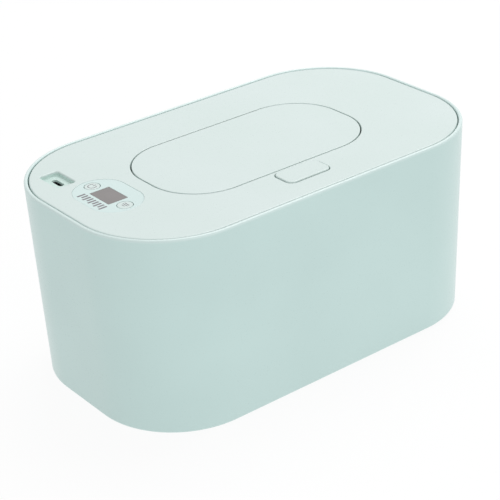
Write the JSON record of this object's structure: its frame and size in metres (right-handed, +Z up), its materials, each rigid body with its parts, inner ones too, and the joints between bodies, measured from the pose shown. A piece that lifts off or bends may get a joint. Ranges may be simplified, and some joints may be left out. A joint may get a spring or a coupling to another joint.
{
  "type": "wipe warmer",
  "caption": "Rounded tub with a lift-off heated lid that holds a sprung dispensing door, a push latch, a display, keys and a power socket.",
  "frame": {"origin": "centre of the footprint, on the surface that the feet stand on", "axes": "+X along the tub, away from the display; +Y towards the side that the dispensing door is hinged on; +Z up"},
  "size_m": [0.225, 0.1336, 0.1066],
  "materials": {
    "mint_abs": "satin",
    "pale_mint_abs": "satin",
    "white_pp": "matt",
    "white_pom": "satin",
    "zinc_steel": "zinc plated",
    "grey_rubber": "matt",
    "spring_steel": "bright drawn",
    "pin_steel": "ground",
    "white_silicone": "matt",
    "aluminium_sheet": "rolled",
    "polyimide_film": "glossy",
    "aramid_felt": "felt",
    "ceramic_white": "matt",
    "black_epoxy": "matt",
    "red_silicone_lead": "satin",
    "white_pvc_lead": "satin",
    "green_board": "solder mask",
    "capacitor_can": "bright",
    "nylon_connector": "matt",
    "display_white": "matt",
    "smoked_window": "glossy",
    "overlay_film": "satin",
    "socket_steel": "bright",
    "brown_plunger": "matt"
  },
  "bodies": {
    "tub": {"outer_shell": "mint_abs", "inner_tank": "white_pp", "base_plate": "mint_abs", "base_screws": "zinc_steel", "rubber_feet": "grey_rubber", "lift_springs": "spring_steel"},
    "tray": {"lift_tray": "white_pp"},
    "lid": {"lid_panel": "pale_mint_abs", "lid_under_cover": "white_pp", "lid_screws": "zinc_steel", "tank_seal": "white_silicone", "heat_plate": "aluminium_sheet", "plate_screws": "zinc_steel", "heating_film": "polyimide_film", "insulation_pad": "aramid_felt", "thermal_cutoff": "ceramic_white", "temperature_sensor": "black_epoxy", "heater_leads": "red_silicone_lead", "sensor_leads": "white_pvc_lead", "dispensing_insert": "white_silicone", "control_board": "green_board", "board_screws": "zinc_steel", "controller_chip": "black_epoxy", "power_transistors": "black_epoxy", "board_capacitors": "capacitor_can", "lead_connectors": "nylon_connector", "display_module": "display_white", "display_window": "smoked_window", "control_overlay": "overlay_film", "switch_housings": "black_epoxy", "socket_shell": "socket_steel", "socket_tongue": "black_epoxy", "lever_pin": "pin_steel", "latch_spring": "spring_steel", "hinge_pins": "pin_steel", "hinge_springs": "spring_steel"},
    "door": {"door_panel": "pale_mint_abs", "door_inner": "white_pp", "door_seal": "white_silicone"},
    "latch_button": {"latch_button": "pale_mint_abs"},
    "latch_lever": {"latch_lever": "white_pom"},
    "power_key": {"power_key": "pale_mint_abs", "power_plunger": "brown_plunger"},
    "mode_key": {"mode_key": "pale_mint_abs", "mode_plunger": "brown_plunger"}
  },
  "joints": [
    {"name": "lid_lift", "type": "slide", "parent": "tub", "child": "lid", "axis": [0, 0, 1], "range_m": [0, 0.13]},
    {"name": "tray_lift", "type": "slide", "parent": "tub", "child": "tray", "axis": [0, 0, 1], "range_m": [-0.038, 0.006], "stiffness_N_per_m": 80, "springref_m": 0.0059, "deforming": ["lift_springs"]},
    {"name": "door_swing", "type": "hinge", "parent": "lid", "child": "door", "pos_m": [-0.0013, 0.03565, 0.10275], "axis": [-1, 0, 0], "range_deg": [0, 92]},
    {"name": "button_press", "type": "slide", "parent": "lid", "child": "latch_button", "axis": [0, 0, -1], "range_m": [0, 0.0016], "stiffness_N_per_m": 500, "springref_m": -0.0015, "deforming": ["latch_spring"]},
    {"name": "lever_tilt", "type": "hinge", "parent": "lid", "child": "latch_lever", "pos_m": [-0.0011, -0.0386, 0.097], "axis": [1, 0, 0], "range_deg": [0, 15]},
    {"name": "power_key_press", "type": "slide", "parent": "lid", "child": "power_key", "axis": [0, 0, -1], "range_m": [0, 0.0004], "stiffness_N_per_m": 1500, "springref_m": -0.0002},
    {"name": "mode_key_press", "type": "slide", "parent": "lid", "child": "mode_key", "axis": [0, 0, -1], "range_m": [0, 0.0004], "stiffness_N_per_m": 1500, "springref_m": -0.0002}
  ],
  "couplings": [
    {"joint": "lever_tilt", "follows": "button_press", "rad_per_m": 163.56}
  ]
}
